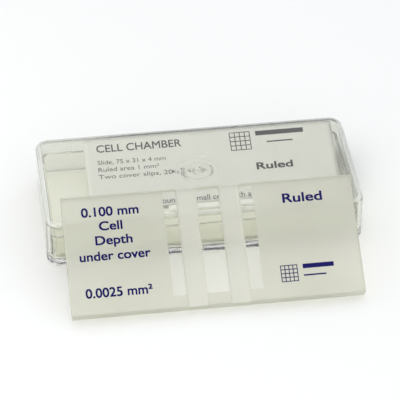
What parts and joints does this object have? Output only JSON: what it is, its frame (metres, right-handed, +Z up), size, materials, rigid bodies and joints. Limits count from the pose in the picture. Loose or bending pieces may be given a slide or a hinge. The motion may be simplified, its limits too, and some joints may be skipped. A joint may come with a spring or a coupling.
{
  "type": "counting chamber with storage case",
  "caption": "Glass blood-cell counting chamber leaning on its closed clear storage case, with lift-off lid, foam pad, label card and cover glasses in a paper wallet.",
  "frame": {"origin": "centre of the case's underside, on the table", "axes": "+X along the case, +Y from the leaning chamber to the back of the case, +Z up from the table"},
  "size_m": [0.0828, 0.0595, 0.0198],
  "materials": {
    "case_tray": "clear polystyrene, polished",
    "case_lid": "clear polystyrene, polished",
    "counting_chamber": "satin-etched glass with polished strips",
    "foam_pad": "fine closed-cell polyethylene foam",
    "label_card": "matt white card",
    "glass_wallet": "thin folded paper",
    "cover_glass": "polished glass"
  },
  "bodies": {
    "tray": {"case_tray": "case_tray", "foam_pad": "foam_pad"},
    "lid": {"case_lid": "case_lid"},
    "chamber": {"counting_chamber": "counting_chamber"},
    "card": {"label_card": "label_card"},
    "wallet": {"glass_wallet": "glass_wallet"},
    "cover_glasses": {"cover_glass_lower": "cover_glass", "cover_glass_upper": "cover_glass"}
  },
  "joints": [
    {"name": "lid_lift", "type": "slide", "parent": "tray", "child": "lid", "axis": [0, 0, 1], "range_m": [0, 0.04]},
    {"name": "chamber_lift", "type": "slide", "parent": "tray", "child": "chamber", "axis": [0, -0.5299, 0.848], "range_m": [0, 0.04]},
    {"name": "card_lift", "type": "slide", "parent": "tray", "child": "card", "axis": [0, 0, 1], "range_m": [0, 0.024]},
    {"name": "wallet_lift", "type": "slide", "parent": "tray", "child": "wallet", "axis": [0, 0, 1], "range_m": [0, 0.012]},
    {"name": "cover_slide", "type": "slide", "parent": "wallet", "child": "cover_glasses", "axis": [1, 0, 0], "range_m": [0, 0.024]}
  ],
  "couplings": [
    {"joint": "chamber_lift", "follows": "lid_lift", "ratio": 1},
    {"joint": "card_lift", "follows": "lid_lift", "ratio": 0.6},
    {"joint": "wallet_lift", "follows": "lid_lift", "ratio": 0.3},
    {"joint": "cover_slide", "follows": "lid_lift", "ratio": 0.6}
  ]
}
